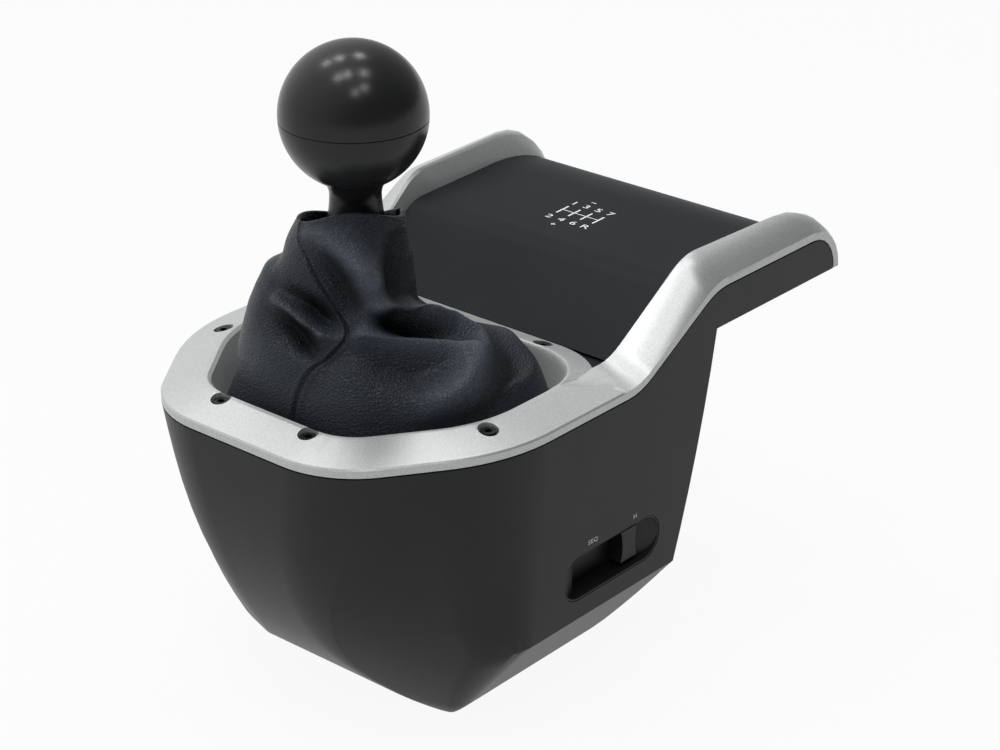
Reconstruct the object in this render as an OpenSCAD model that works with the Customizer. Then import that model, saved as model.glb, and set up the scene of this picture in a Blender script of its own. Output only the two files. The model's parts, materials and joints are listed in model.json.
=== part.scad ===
// Sim racing gear shifter: ball knob on a gimballed lever, leather boot, moulded housing with a
// silver bezel and rails, hood, rear overhang and a mode switch. Millimetres, +Z up, +Y to the rear.
// The lever's axis is X = 0, Y = 0 and the flat bottom is Z = 0.

/* [Housing] */
// Half the width of the housing and bezel
half_width = 75.6; // [70:0.1:82]
// Distance from the lever's axis to the front of the rim
front_reach = 59.5; // [54:0.1:66]
// Height of the bezel's outer edge
rim_height = 111; // [104:0.5:118]
// Wall thickness of the mouldings
wall = 3; // [2.4:0.1:3.6]
// Angle between the front edge and the rim's oblique corner, seen from above
corner_angle = 54.5; // [48:0.5:60]
// Distance in front of the lever's axis where the oblique corner meets the side
corner_back = 10; // [8:0.1:12]
// Radius between the front edge and the oblique corner
front_radius = 36.5; // [30:0.5:42]
// Radius between the oblique corner and the side
side_radius = 66; // [60:0.5:72]
// Height of the chamfers on the lower sides
chamfer_height = 33.2; // [26:0.1:40]
// Half the width of the flat bottom
base_half = 49.6; // [46:0.1:56]
// Distance from the lever's axis to the front of the flat bottom
base_front = 10.4; // [9:0.1:14]
// Radius of the lower rear corner
rear_radius = 28.7; // [24:0.1:32]
// Distance from the lever's axis to the rear wall at the lower rear corner
rear_foot = 79.6; // [76:0.1:86]
// Distance from the lever's axis to the rear wall under the overhang
rear_top = 103; // [98:0.1:108]
// Height of the overhang's side below the rails' band
overhang_depth = 15.1; // [12:0.1:18]
// Thickness of the moulded floor round the base opening
floor_t = 7; // [6.4:0.1:8]

/* [Bezel and rails] */
// Height of the bezel's upright outer band
band = 3; // [2:0.1:4]
// Width of the bezel's face at the front and sides
face_width = 16.8; // [14:0.1:19]
// Slope of the bezel's face in degrees
face_slope = 15; // [10:0.5:18]
// Distance from the lever's axis to the rear edge of the boot opening
opening_rear = 53.8; // [48:0.1:58]
// Radius of the boot opening's rear corners
opening_radius = 22; // [16:0.5:28]
// Width of the bezel behind the boot opening
rear_face = 9.8; // [8:0.1:12]
// Depth of the bezel's bowl lip below the deck
lip_depth = 4; // [3:0.1:6]
// Distance from the lever's axis to the foot of the rails' ramps
ramp_foot = 59.7; // [56:0.1:64]
// Distance from the lever's axis to the head of the rails' ramps
ramp_head = 102.2; // [96:0.1:108]
// Height that the rails climb
rail_rise = 24.4; // [20:0.1:28]
// Height of the rails' crest above their outer edge
crest_rise = 8.6; // [6:0.1:10]
// Crown of the rails' top face
rail_crown = 2.2; // [0.5:0.1:3]
// Distance from the lever's axis to where the rails' ends turn down
tail_turn = 161.5; // [156:0.1:166]
// Distance from the lever's axis to the tail's end
tail_end = 178.9; // [174:0.1:184]
// Width of the rails
rail_width = 15.4; // [13:0.1:18]

/* [Hood] */
// Depth of the hood's top behind its fold, below the outer edge of the rails
hood_drop = 0.8; // [0:0.1:3]
// Rise of the hood's top from its fold to its highest point
hood_rise = 1.5; // [0:0.1:3]
// Distance from the lever's axis to the hood's highest point
hood_peak = 141.4; // [136:0.1:146]
// Radius of the hood's fold
fold_radius = 16; // [10:0.5:20]
// Distance from the lever's axis to the fold's corner
fold_corner = 94; // [90:0.1:98]

/* [Knob and lever] */
// Height of the ball's centre
knob_height = 207; // [195:1:215]
// Radius of the ball
knob_radius = 25; // [22:0.1:28]
// Distance of the seam below the ball's centre
seam_drop = 1; // [0.5:0.1:3]
// Smallest diameter of the knob's neck
neck_diameter = 17.4; // [16:0.1:20]
// Diameter of the neck's flared foot
neck_foot = 19; // [18:0.1:22]
// Length of the neck below the ball's centre
neck_length = 35; // [33:0.1:38]
// Diameter of the lever's shaft
shaft_diameter = 12; // [10:0.1:13]
// Diameter of the lever's threaded end
thread_diameter = 8; // [6:0.1:9]
// Height of the gimbal's centre
pivot_height = 85; // [82:0.5:88]

/* [Boot] */
// Thickness of the leather
leather = 1.4; // [1:0.1:2]
// Height of the middle of the boot's tilted top edge
boot_top = 173; // [168:0.5:176]
// Mean radius of the boot's top edge
boot_mouth = 17; // [16:0.1:19]
// Depth of the boot's crossing folds
fold_depth = 4; // [1:0.1:5]

/* [Mode switch] */
// Distance from the lever's axis to the tray's centre
tray_y = 45.4; // [42:0.1:48]
// Height of the tray's centre
tray_z = 49.4; // [47:0.1:52]
// Length of the tray
tray_length = 54; // [50:0.1:58]
// Height of the tray
tray_height = 17.8; // [16:0.1:20]
// Depth of the tray
tray_depth = 8; // [6:0.1:9]
// Wall thickness of the tray
tray_wall = 1.6; // [1.2:0.1:2]
// Thickness of the tray's upper and lower lips
tray_lip = 0.8; // [0.6:0.1:1.2]
// Length of the slider's pocket between the tray's sloped ends
pocket_length = 34; // [32:0.1:38]
// Depth of the tray's sloped ends at the pocket
end_depth = 4; // [3:0.1:5]
// Length of the slider's cap
cap_length = 9; // [8:0.1:11]
// Height of the slider's cap
cap_height = 12; // [11:0.1:14]
// Depth of the cap's face behind the wall's face
cap_set = 2; // [1:0.1:3]

/* [Gimbal and gate] */
// Diameter of the gimbal's pins
pin_diameter = 8; // [6:0.1:9]
// Wall thickness of the bushings
bushing_wall = 1.5; // [1.2:0.1:2]
// Half the width of the yoke
yoke_half_x = 28; // [26:0.1:30]
// Half the depth of the yoke
yoke_half_y = 21; // [20:0.1:24]
// Height of the yoke
yoke_height = 14; // [13:0.1:16]
// Thickness of the yoke's front and rear bars
yoke_bar = 8; // [7:0.1:9]
// Thickness of the bracket's cheeks
cheek = 6; // [5:0.1:7]
// Gap between the yoke and the cheeks
cheek_gap = 5; // [4.5:0.1:6]
// Distance from the gimbal's centre down to the underside of the bracket's deck
deck_drop = 25; // [23:0.5:28]
// Thickness of the bracket's deck
deck_t = 4; // [3:0.1:5]
// Half the fore and aft throw of the lever in degrees
throw_angle = 11; // [9:0.5:12]
// Angle between neighbouring gate columns in degrees
column_angle = 7; // [6.5:0.1:7.5]
// Height of the gate plate's underside
gate_height = 33; // [31:0.5:35]
// Thickness of the gate plate
gate_t = 2; // [1.5:0.1:2.4]
// Diameter of the gate pin
gate_pin_d = 3.6; // [3:0.1:4]
// Diameter of the frame posts
post_diameter = 8; // [7:0.1:9]
// Half the spacing of the frame posts across the housing
post_x = 27; // [26:0.1:28]
// Distance from the lever's axis to the front posts
post_front = 14; // [13:0.1:15]
// Distance from the lever's axis to the rear posts
post_rear = 37; // [35:0.1:38]
// Wire diameter of the centring spring
wire = 1.2; // [1:0.1:1.4]
// Turns of the centring spring
spring_turns = 3; // [2:1:4]

/* [Fasteners and fits] */
// Diameter of the small screws
screw_d = 3; // [2.5:0.1:4]
// Head diameter of the small screws
screw_head = 5.6; // [5:0.1:6.4]
// Head height of the small screws
screw_head_t = 2.4; // [2:0.1:3]
// Diameter of the clamp inserts' threads
clamp_thread = 5; // [4:0.1:6]
// Spacing of the clamp inserts across the overhang
clamp_spacing = 80; // [70:1:90]
// Gap between mouldings that meet
fit_gap = 0.2; // [0.1:0.05:0.3]
// Gap between parts that move past each other
move_gap = 0.5; // [0.4:0.05:0.7]
// Radial clearance of the running pins
run_gap = 0.04; // [0.02:0.01:0.08]

/* [Hidden] */
$fn = 48;
far = 300;
seam = rim_height - band;
face_tan = tan(face_slope);
inner_edge = rim_height + face_width * face_tan;
rear_edge = inner_edge - rear_face * face_tan;
tail_height = rim_height + rail_rise;
overhang_height = tail_height - band - overhang_depth;
hood_height = tail_height - hood_drop;
rail_inner = half_width - rail_width;
ramp_angle = atan2(rail_rise, ramp_head - ramp_foot);
shadow = 0.6;
foot_angle = 16.5;
foot_back = 0.9;
corner_belly = 4.7;
edge_round = 6;
side_steps = 10;
front_steps = 10;
rear_steps = 10;
rear_bow = 2;
rear_centre = rear_foot - rear_radius;
deck = 4;
deck_rear = opening_rear + rear_face + wall;
opening_half = half_width - face_width;
corner_x = opening_half - opening_radius;
corner_y = opening_rear - opening_radius;
crest_top = tail_height + crest_rise;
crest_foot = ramp_foot + 1.4;
crest_head = ramp_head - 4.8;
crest_turn = tail_turn - 13.5;
crest_in = 0.2;
crest_mid = 4;
crest_out = 6.4;
ramp_ease = 0.15;
ramp_steps = [for (side = [0, 1], i = [-2:2]) side + ramp_ease * i / 2];
turn_steps = [90:-15:0];
hood_half = rail_inner - fit_gap;
hood_start = opening_rear + rear_face + fit_gap;
flange_start = ramp_foot + 10;
flange_half = half_width - wall - fit_gap;
screw_edge = 3.4;
bezel_spots = [[20.4, -(front_reach - face_width + screw_edge)],
               [opening_half + screw_edge, -4.8],
               [32.6, opening_rear + rear_face / 2]];
screw_seat = inner_edge - screw_head_t - 2;
rail_bite = 6;
hood_screw_in = 14;
thread_lap = 1;
thread_room = 4;
plate_t = 4;
plate_half = base_half - 5;
plate_front = 5 - base_front;
plate_rear = rear_centre - 2;
plate_mid = (plate_front + plate_rear) / 2;
ledge = screw_head + 1.4;
pad_d = 8;
pad_depth = 1.2;
pad_inset = 8;
pad_step = 18;
mount_thread = 5;
mount_spacing = 40;
post_spigot = 5;
post_foot = post_diameter + 2;
clamp_y = (rear_top + tail_turn) / 2;
clamp_depth = 8;
clamp_wall = 1.2;
socket_z = 88;
socket_half = 9;
socket_height = 16;
socket_depth = 14;
socket_face = rear_y(socket_z) - 0.8;
boot_seat = seam - lip_depth;
boot_in = -4.6;
boot_columns = 40;
retainer_t = 3;
bush_d = pin_diameter + 2 * bushing_wall;
cheek_in = yoke_half_x + cheek_gap;
cheek_out = cheek_in + cheek;
hub_half = yoke_half_y - yoke_bar - move_gap;
hub_d = pin_diameter + 9;
window_half = 16;
pin_over = 1;
magnet_d = 6;
magnet_t = 2.5;
board_t = 1.6;
sensor_gap = 1.2;
spacer_d = 5;
sector_r = yoke_height / 2 + 9;
sector_t = 6;
notch_r = 1.8;
tail_d = 8;
gate_depth = pivot_height - gate_height;
tail_clear = 10;
tail_length = gate_depth - gate_t - tail_clear;
deck_height = pivot_height - deck_drop;
slot_gap = 0.9;
columns = [-1, 0, 1, 2];
bracket_front = -18;
bracket_rear = post_rear + 8;
tab_t = 3;
tab_half = 32;
board_half = 34;
board_over = 2;
board_step_x = 26;
board_clear = 7.6;
tab_height = boot_seat - leather - retainer_t - board_clear - board_over - deck_t - deck_height;
board_edge = 6;
board_step_z = (tab_height + deck_t) / 2 - board_edge;
sensor_width = 28;
sensor_height = 14;
sensor_step = 10;
cheek_d = 24;
cheek_foot = 16;
window_y = 13;
plunger_x = -yoke_half_x + sector_t / 2;
plunger_d = 7;
plunger_tip = 2;
detent_gap = 0.4;
collar_t = 4;
collar_gap = 8;
collar_r = shaft_diameter / 2 + 5;
nut_t = 4;
nut_d = post_spigot + 3.4;
knob_wall = 3;
cap_y = tray_y + (pocket_length - cap_length) / 2 - move_gap;
slider_travel = pocket_length - cap_length - 2 * move_gap;
waist_r = 18;
waist_depth = 1;
tray_floor = half_width - tray_depth;
tray_back = tray_floor - tray_wall;
neck_y = 8;
neck_z = 2;
neck_up = cap_height / 2 - neck_z / 2 - 0.1;
carriage_t = 5;
carriage_y = 16;
carriage_z = 12;
board_gap = 5;
coil_r = bush_d / 2 + wire / 2 + 0.1;
coil_pitch = wire + 0.6;
spring_length = coil_pitch * spring_turns + wire;
insert_d = thread_diameter + 4;
throat_r = neck_diameter / 2 + 1.5;
sensor_face = tray_back - move_gap - carriage_t - magnet_t - 2;
socket_mouth = 8.4;
socket_reach = 9;

// Shared shapes

function mix(a, b, t) = a + (b - a) * t;
function arc(centre, radius, from, to, steps) =
    [for (i = [0:steps]) centre + radius * [cos(mix(from, to, i / steps)), sin(mix(from, to, i / steps))]];
function mirrored(half) = concat(half, [for (i = [len(half) - 1:-1:0]) [-half[i][0], half[i][1]]]);
function at_height(ring, z) = [for (p = ring) [p[0], p[1], z]];
function flat(rings) = [for (ring = rings) for (p = ring) p];
function reversed(list) = [for (i = [len(list) - 1:-1:0]) list[i]];

// Faces between neighbouring rings, each four-sided cell split along the diagonal that bulges outwards
function skin(p, n, rows, row_count) =
    [for (i = [0:rows - 1]) for (j = [0:n - 1])
        let (
            k = (j + 1) % n,
            a = i * n + j,
            b = i * n + k,
            c = (i + 1) % row_count * n + k,
            d = (i + 1) % row_count * n + j
        )
        each cross(p[b] - p[a], p[c] - p[a]) * (p[d] - p[a]) > 0 ? [[a, b, c], [a, c, d]]
                                                                 : [[a, b, d], [b, c, d]]];

// A closed solid through a list of rings with equal numbers of points
module loft(rings) {
    n = len(rings[0]);
    m = len(rings);
    ends = [reversed([for (j = [0:n - 1]) j]), [for (j = [0:n - 1]) (m - 1) * n + j]];
    points = flat(rings);
    polyhedron(points, concat(skin(points, n, m - 1, m), ends));
}

// A closed band whose last ring joins its first
module loop_band(rings) {
    points = flat(rings);
    polyhedron(points, skin(points, len(rings[0]), len(rings), len(rings)));
}

// A side profile drawn in Y and Z, extruded across X
module across(width) {
    rotate([90, 0, 90])
        linear_extrude(height = width, center = true)
            children();
}

module both_sides() {
    children();
    mirror([1, 0, 0])
        children();
}

// Plan of the moulded body at one height, inset by a distance

function fall(z) = max(0, (seam - z) / seam);
function half_at(z) = mix(base_half, half_width, min(1, z / chamfer_height));
function prow(z) = -mix(front_reach, base_front, 0.1 * fall(z) + 0.9 * pow(fall(z), 3));
function oblique(z) = mix(corner_angle, foot_angle, fall(z));
function oblique_end(z) =
    -mix(corner_back, foot_back, pow(fall(z), 3)) - corner_belly * sin(180 * fall(z))
    - (half_width - half_at(z)) * tan(oblique(z));
function side_r(z) = side_radius * max(0.06, 1 - 0.935 * fall(z));
function front_r(z) = front_radius * (1 - 0.82 * pow(fall(z), 2));
function foot_inset(z) = 1.6 * pow(max(0, 1 - z / edge_round), 2);

function front_half(z, inset) =
    let (
        angle = oblique(z),
        half = half_at(z) - inset,
        front = prow(z) + inset,
        meet = oblique_end(z) + inset * (1 - sin(angle)) / cos(angle),
        r2 = max(0.8, side_r(z) - inset),
        r1 = max(0.8, front_r(z) - inset),
        turn = 90 - angle,
        corner = half - (meet - front) / tan(angle)
    )
    concat(
        arc([half - r2, meet + r2 * tan(turn / 2)], r2, 0, -turn, side_steps),
        arc([corner - r1 * tan(angle / 2), front + r1], r1, -turn, -90, front_steps));

function plan(z, inset) =
    let (d = inset + foot_inset(z)) mirrored(concat([[half_at(z) - d, far]], front_half(z, d)));

function body_levels() = concat(
    [for (t = [0, 0.25, 0.6, 1]) t * edge_round],
    [for (t = [0.25, 0.5, 0.75, 1]) mix(edge_round, chamfer_height, t)],
    [for (t = [1:8]) mix(chamfer_height, seam, t / 8)],
    [far]);

module body_loft(inset) {
    loft([for (z = body_levels()) at_height(plan(z, inset), z)]);
}

// Side profile of the housing

function ease(u) = u < -ramp_ease ? 0 : u > ramp_ease ? u : pow(u + ramp_ease, 2) / (4 * ramp_ease);
function ramp(u) = u < 0.5 ? ease(u) : 1 - ease(1 - u);
function base_line(inset) = concat(
    [for (u = ramp_steps) [mix(ramp_foot, ramp_head, u), seam + rail_rise * ramp(u) - inset]],
    [for (a = turn_steps) [tail_turn + (tail_end - tail_turn - band - inset) * cos(a),
                           overhang_height + (tail_height - band - overhang_height - inset) * sin(a)]]);
function rear_y(z) =
    let (t = (z - rear_radius) / (overhang_height - rear_radius))
    mix(rear_foot, rear_top, t) + rear_bow * 4 * t * (1 - t);
function rear_wall(inset, top) =
    [for (i = [6:-1:1]) let (z = mix(rear_radius, top, i / 6)) [rear_y(z) - inset, z]];

module outer_profile(inset) {
    polygon(concat(
        [[-far, 0], [-far, seam - inset]],
        base_line(inset),
        rear_wall(0, overhang_height),
        arc([rear_centre, rear_radius], rear_radius, 0, -90, 12)));
}

module cavity_profile() {
    r = rear_radius - wall;
    polygon(concat(
        [[-far, floor_t], [-far, far], [far, far], [far, overhang_height + wall]],
        rear_wall(wall, overhang_height + wall),
        arc([rear_centre, rear_radius], r, 0, -asin((rear_radius - floor_t) / r), 8)));
}

// Strip above and below the top line, where the shadow gap is cut
module groove_profile() {
    polygon(concat(
        [[-far, seam + 1], [-far, seam - shadow]],
        base_line(shadow),
        reversed(base_line(-1))));
}

// Rings of the bezel, at a distance outward from the edge of the boot opening

function ring_half(e) =
    let (t = max(0, e) / face_width, r = opening_radius + (e > 0 ? t * rear_face : e))
    concat(
        arc([corner_x, corner_y], r, 90, 43 * t, rear_steps),
        [[opening_half + e, mix(corner_y - 4, opening_rear - 2, t)]],
        front_half(seam, face_width - e));
function ring(e) = mirrored(ring_half(e));
function ring_layer(e, side_z, rear_z) =
    let (r = ring(e), last = len(r) - 1)
    [for (i = [0:last]) [r[i][0], r[i][1], min(i, last - i) <= rear_steps ? rear_z : side_z]];
function face_layer(e, drop) =
    ring_layer(e, inner_edge - max(0, e) * face_tan - drop,
               inner_edge - max(0, e) * face_tan * rear_face / face_width - drop);

// Rings of a rail, each with its outer edge, crest and base in the side view

function rail_section(outer, crest, crest_x, base, crown, half) = concat(
    [[rail_inner, base[0], base[1]], [half, base[0], base[1]]],
    [for (i = [0:4])
        let (t = i / 4, p = mix(outer, crest, t) + 4 * t * (1 - t) * crown)
        [mix(half, crest_x, t), p[0], p[1]]],
    [[mix(crest_x, rail_inner, 0.3), crest[0], mix(crest[1], base[1], 0.1)]]);
function ramp_section(u) =
    let (h = ramp(u))
    rail_section(
        [mix(ramp_foot, ramp_head, u), rim_height + rail_rise * h],
        [mix(crest_foot, crest_head, u), mix(inner_edge, crest_top, h)],
        rail_inner + mix(crest_in, crest_mid, h),
        [mix(ramp_foot, ramp_head, u), seam + rail_rise * h],
        [0, rail_crown * h],
        half_width);
function turn_section(a) =
    rail_section(
        [tail_turn + (tail_end - tail_turn) * cos(a),
         overhang_height + (tail_height - overhang_height) * sin(a)],
        [crest_turn + (tail_end - crest_turn) * cos(a),
         overhang_height + (crest_top - overhang_height) * sin(a)],
        rail_inner + crest_out,
        [tail_turn + (tail_end - tail_turn - band) * cos(a),
         overhang_height + (tail_height - band - overhang_height) * sin(a)],
        rail_crown * [cos(a) / 3, sin(a)],
        half_width);
function root_section(y, sink, side) =
    rail_section([y, rim_height - sink], [y, inner_edge - sink], rail_inner + crest_in,
                 [y, seam + max(0, sink / 3)], [0, 0], half_width - side);

module rail() {
    loft(concat(
        [root_section(opening_rear - 14, 2, 1.5), root_section(opening_rear - 2, -0.02, 0)],
        [for (u = ramp_steps) ramp_section(u)],
        [for (a = turn_steps) turn_section(a)]));
}

// Housing

module at_bezel_screws() {
    both_sides()
        for (p = bezel_spots)
            translate(p)
                children();
}

module housing_deck() {
    translate([0, 0, seam - deck])
        linear_extrude(height = deck)
            difference() {
                intersection() {
                    polygon(plan(seam, wall / 2));
                    translate([-far, deck_rear - 2 * far])
                        square(2 * far);
                }
                polygon(ring(0.6 + fit_gap));
            }
    at_bezel_screws()
        translate([0, 0, seam - deck - 8])
            cylinder(d = screw_d + 5, h = 9);
}

module stadium(length, height) {
    straight = length - height;
    square([straight, height], center = true);
    for (side = [-1, 1])
        translate([side * straight / 2, 0])
            circle(d = height);
}

// The switch's outline, extruded inwards from the right wall
module switch_prism(length, height, from, depth) {
    translate([half_width - from, tray_y, tray_z])
        rotate([90, 0, 90])
            translate([0, 0, -depth])
                linear_extrude(height = depth)
                    stadium(length, height);
}

module main_housing() {
    color("#2c2c2e")
        difference() {
            union() {
                difference() {
                    intersection() {
                        across(3 * half_width)
                            outer_profile(0);
                        body_loft(0);
                    }
                    intersection() {
                        across(3 * half_width)
                            cavity_profile();
                        body_loft(wall);
                    }
                    difference() {
                        across(3 * half_width)
                            groove_profile();
                        body_loft(shadow);
                    }
                }
                housing_deck();
                clamp_bosses();
            }
            base_cut();
            switch_prism(tray_length, tray_height, -1, wall + 4);
            socket_cut();
            tail_notch();
            at_bezel_screws()
                translate([0, 0, seam - deck - 7])
                    cylinder(d = screw_d, h = 20);
            at_clamp()
                cylinder(d = clamp_thread + 2 * clamp_wall, h = 2 * clamp_depth, center = true);
        }
}

module tail_notch() {
    translate([-hood_half - fit_gap, tail_end - wall - 1.4, overhang_height - 1])
        cube([2 * (hood_half + fit_gap), far, far]);
}

// Base

module base_outline(inset) {
    translate([-plate_half + inset, plate_front + inset])
        square([2 * (plate_half - inset), plate_rear - plate_front - 2 * inset]);
}

module base_cut() {
    translate([0, 0, -1])
        linear_extrude(height = plate_t + 1)
            base_outline(-fit_gap);
    translate([0, 0, -1])
        linear_extrude(height = floor_t + 2)
            base_outline(ledge);
    at_base_screws()
        cylinder(d = screw_d, h = floor_t + 1);
}

module at_base_screws() {
    for (x = [-1, 1], y = [plate_front + ledge / 2, plate_rear - ledge / 2])
        translate([x * (plate_half - ledge / 2), y, 0])
            children();
}

module at_pads() {
    for (x = [-1, 1], y = [-1, 1])
        translate([x * (plate_half - pad_inset), plate_mid + y * pad_step / 2, 0])
            children();
}

module base_plate() {
    color("#3a3b3d")
        difference() {
            linear_extrude(height = plate_t)
                base_outline(0);
            at_base_screws() {
                translate([0, 0, -1])
                    cylinder(d = screw_d, h = plate_t + 2);
                translate([0, 0, -1])
                    cylinder(d = screw_head, h = 1 + screw_head_t / 2);
            }
            at_pads()
                translate([0, 0, -1])
                    cylinder(d = pad_d, h = 1 + pad_depth);
            at_posts()
                translate([0, 0, -1])
                    cylinder(d = post_spigot, h = plate_t + 2);
            at_mount_holes()
                translate([0, 0, -1])
                    cylinder(d = mount_thread, h = plate_t + 2);
        }
}

module at_mount_holes() {
    for (x = [-1, 1])
        translate([x * mount_spacing / 2, plate_mid, 0])
            children();
}

module base_screws() {
    color("#1c1c1e")
        at_base_screws() {
            cylinder(d = screw_head, h = screw_head_t / 2);
            cylinder(d = screw_d, h = floor_t);
        }
}

module base_pads() {
    color("#1a1a1a")
        at_pads()
            cylinder(d = pad_d, h = pad_depth);
}

// Bezel

module bezel_trim() {
    color("#a9adae")
        difference() {
            union() {
                loop_band([
                    ring_layer(face_width, seam, seam),
                    ring_layer(face_width, rim_height - 0.5, rear_edge - 0.5),
                    face_layer(face_width - 0.5, 0),
                    face_layer(2.5, 0),
                    face_layer(0.8, 0.4),
                    face_layer(-0.4, 1.6),
                    face_layer(-1, 3.4),
                    ring_layer(-4, seam - lip_depth, seam - lip_depth),
                    ring_layer(-1.6, seam - lip_depth, seam - lip_depth),
                    ring_layer(0.6, seam, seam)]);
                both_sides()
                    rail();
            }
            at_bezel_screws() {
                cylinder(d = screw_d + 0.4, h = far);
                translate([0, 0, screw_seat])
                    cylinder(d = screw_head + 1.5, h = far);
            }
            at_hood_screws()
                cylinder(d = screw_d, h = rail_bite);
        }
}

module socket_screw(length) {
    difference() {
        union() {
            cylinder(d = screw_head, h = screw_head_t);
            translate([0, 0, -length])
                cylinder(d = screw_d, h = length + 0.5);
        }
        translate([0, 0, screw_head_t / 2])
            cylinder(d = screw_head / 2, h = screw_head_t, $fn = 6);
    }
}

module bezel_screws() {
    color("#1b1b1d")
        at_bezel_screws()
            translate([0, 0, screw_seat])
                socket_screw(screw_seat - seam + deck + 5);
}

// Hood

function hood_slope() = atan2(hood_height - rear_edge, fold_corner - hood_start);
function hood_lean() = atan2(hood_rise, hood_peak - fold_corner);
function hood_line(d) =
    let (
        a = hood_slope(),
        b = hood_lean(),
        reach = fold_radius * tan((a - b) / 2),
        centre = [fold_corner, hood_height] - reach * [cos(a), sin(a)] + fold_radius * [sin(a), -cos(a)],
        rise = hood_height + hood_rise - overhang_height - d
    )
    concat(
        [[hood_start, rear_edge] + d * [sin(a), -cos(a)]],
        arc(centre, fold_radius - d, 90 + a, 90 + b, 6),
        [for (t = [90:-9:0])
            [hood_peak + (tail_end - hood_peak - d) * cos(t), overhang_height + rise * sin(t)]]);

module at_hood_screws() {
    both_sides()
        for (y = [ramp_head + hood_screw_in, tail_turn - hood_screw_in])
            translate([(rail_inner + half_width - wall) / 2, y, seam + rail_rise])
                children();
}

// Fills the corner between the bezel's curved rear edge and the rail
module hood_toe() {
    translate([0, 0, seam + fit_gap])
        linear_extrude(height = rear_edge - 1 - seam - fit_gap)
            difference() {
                translate([corner_x - 6, corner_y])
                    square([hood_half - corner_x + 6, hood_start + 4 - corner_y]);
                translate([corner_x, corner_y])
                    circle(r = opening_radius + rear_face + fit_gap, $fn = 96);
                square([corner_x, hood_start]);
            }
}

module hood_cover() {
    color("#242529")
        difference() {
            union() {
                across(2 * hood_half)
                    polygon(concat(hood_line(0), reversed(hood_line(wall))));
                both_sides() {
                    hood_toe();
                    translate([hood_half - wall / 2, 0, 0])
                        across(wall)
                            intersection() {
                                polygon(concat(hood_line(wall / 2), reversed(base_line(wall))));
                                translate([flange_start, 0])
                                    square([tail_turn - flange_start, far]);
                            }
                    translate([(hood_half - wall + flange_half) / 2, 0, 0])
                        across(flange_half - hood_half + wall)
                            intersection() {
                                polygon(concat(base_line(0), reversed(base_line(wall))));
                                translate([flange_start, 0])
                                    square([tail_turn - flange_start, far]);
                            }
                }
            }
            at_hood_screws()
                cylinder(d = screw_d + 0.4, h = far, center = true);
        }
}

module hood_screws() {
    color("#1b1b1d")
        at_hood_screws()
            translate([0, 0, -wall])
                rotate([180, 0, 0])
                    socket_screw(wall + rail_bite - 1);
}

// Overhang and rear wall

module at_clamp() {
    both_sides()
        translate([clamp_spacing / 2, clamp_y, overhang_height])
            children();
}

module clamp_bosses() {
    at_clamp()
        translate([0, 0, wall / 2])
            cylinder(d = clamp_thread + 2 * clamp_wall + 2 * wall, h = clamp_depth);
}

module clamp_inserts() {
    color("#b08d4a")
        at_clamp()
            difference() {
                cylinder(d = clamp_thread + 2 * clamp_wall, h = clamp_depth);
                translate([0, 0, -1])
                    cylinder(d = clamp_thread, h = clamp_depth + 2);
            }
}

module socket_cut() {
    translate([-socket_half, socket_face - socket_depth, socket_z - socket_height / 2])
        cube([2 * socket_half, 2 * socket_depth, socket_height]);
}

module cord_socket() {
    color("#1d1d1f")
        translate([0, socket_face, socket_z])
            difference() {
                translate([-socket_half, -socket_depth, -socket_height / 2])
                    cube([2 * socket_half, socket_depth, socket_height]);
                translate([-socket_mouth / 2, -socket_reach, -socket_mouth / 2])
                    cube([socket_mouth, socket_depth, socket_mouth]);
            }
}

// Boot

// Angles of the boot are counted from the front right corner. Its levels run from 0 at the tilted top
// edge to 8 at the seat. Each side has a profile: shares of the way outwards and upwards, level by level.
facing = -49.4;
profiles = [
    [0, [0, 0.06, 0.14, 0.22, 0.28, 0.38, 0.61, 0.84, 1],
      [1, 0.91, 0.81, 0.68, 0.57, 0.47, 0.39, 0.23, 0]],
    [90, [0, 0.05, 0.08, 0.1, 0.13, 0.35, 0.63, 0.88, 1],
       [1, 0.87, 0.76, 0.64, 0.53, 0.44, 0.36, 0.2, 0]],
    [180, [0, 0.06, 0.12, 0.18, 0.27, 0.48, 0.76, 0.94, 1],
        [1, 0.89, 0.76, 0.64, 0.51, 0.41, 0.32, 0.16, 0]],
    [270, [0, 0.1, 0.23, 0.4, 0.54, 0.63, 0.72, 0.83, 1],
        [1, 0.93, 0.84, 0.72, 0.62, 0.5, 0.35, 0.16, 0]]];

// Folds from one angle and level to another, with their heights as shares of the fold depth and widths
folds = [
    [[-60, 0.3], [0, 1.6], 0.6, 6], [[0, 1.6], [16, 3.5], 1.1, 6], [[52, 1], [45, 3.4], -1, 8],
    [[-48, 1.5], [-12, 4], -0.5, 7], [[-85, 3.7], [-5, 5], 0.9, 5], [[-60, 4.5], [-20, 5.5], -0.8, 5],
    [[12, 5], [75, 5.3], -1.1, 5], [[18, 4.2], [100, 4.4], 0.6, 5], [[0, 5.7], [82, 6], 1.1, 7],
    [[80, 6.2], [31, 7.6], 0.7, 10], [[104, 6.6], [60, 7.8], -1, 10], [[150, 4], [210, 4.6], 0.6, 6],
    [[155, 5], [215, 5.4], -0.7, 6], [[225, 2.4], [250, 6], 0.6, 8]];

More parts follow.
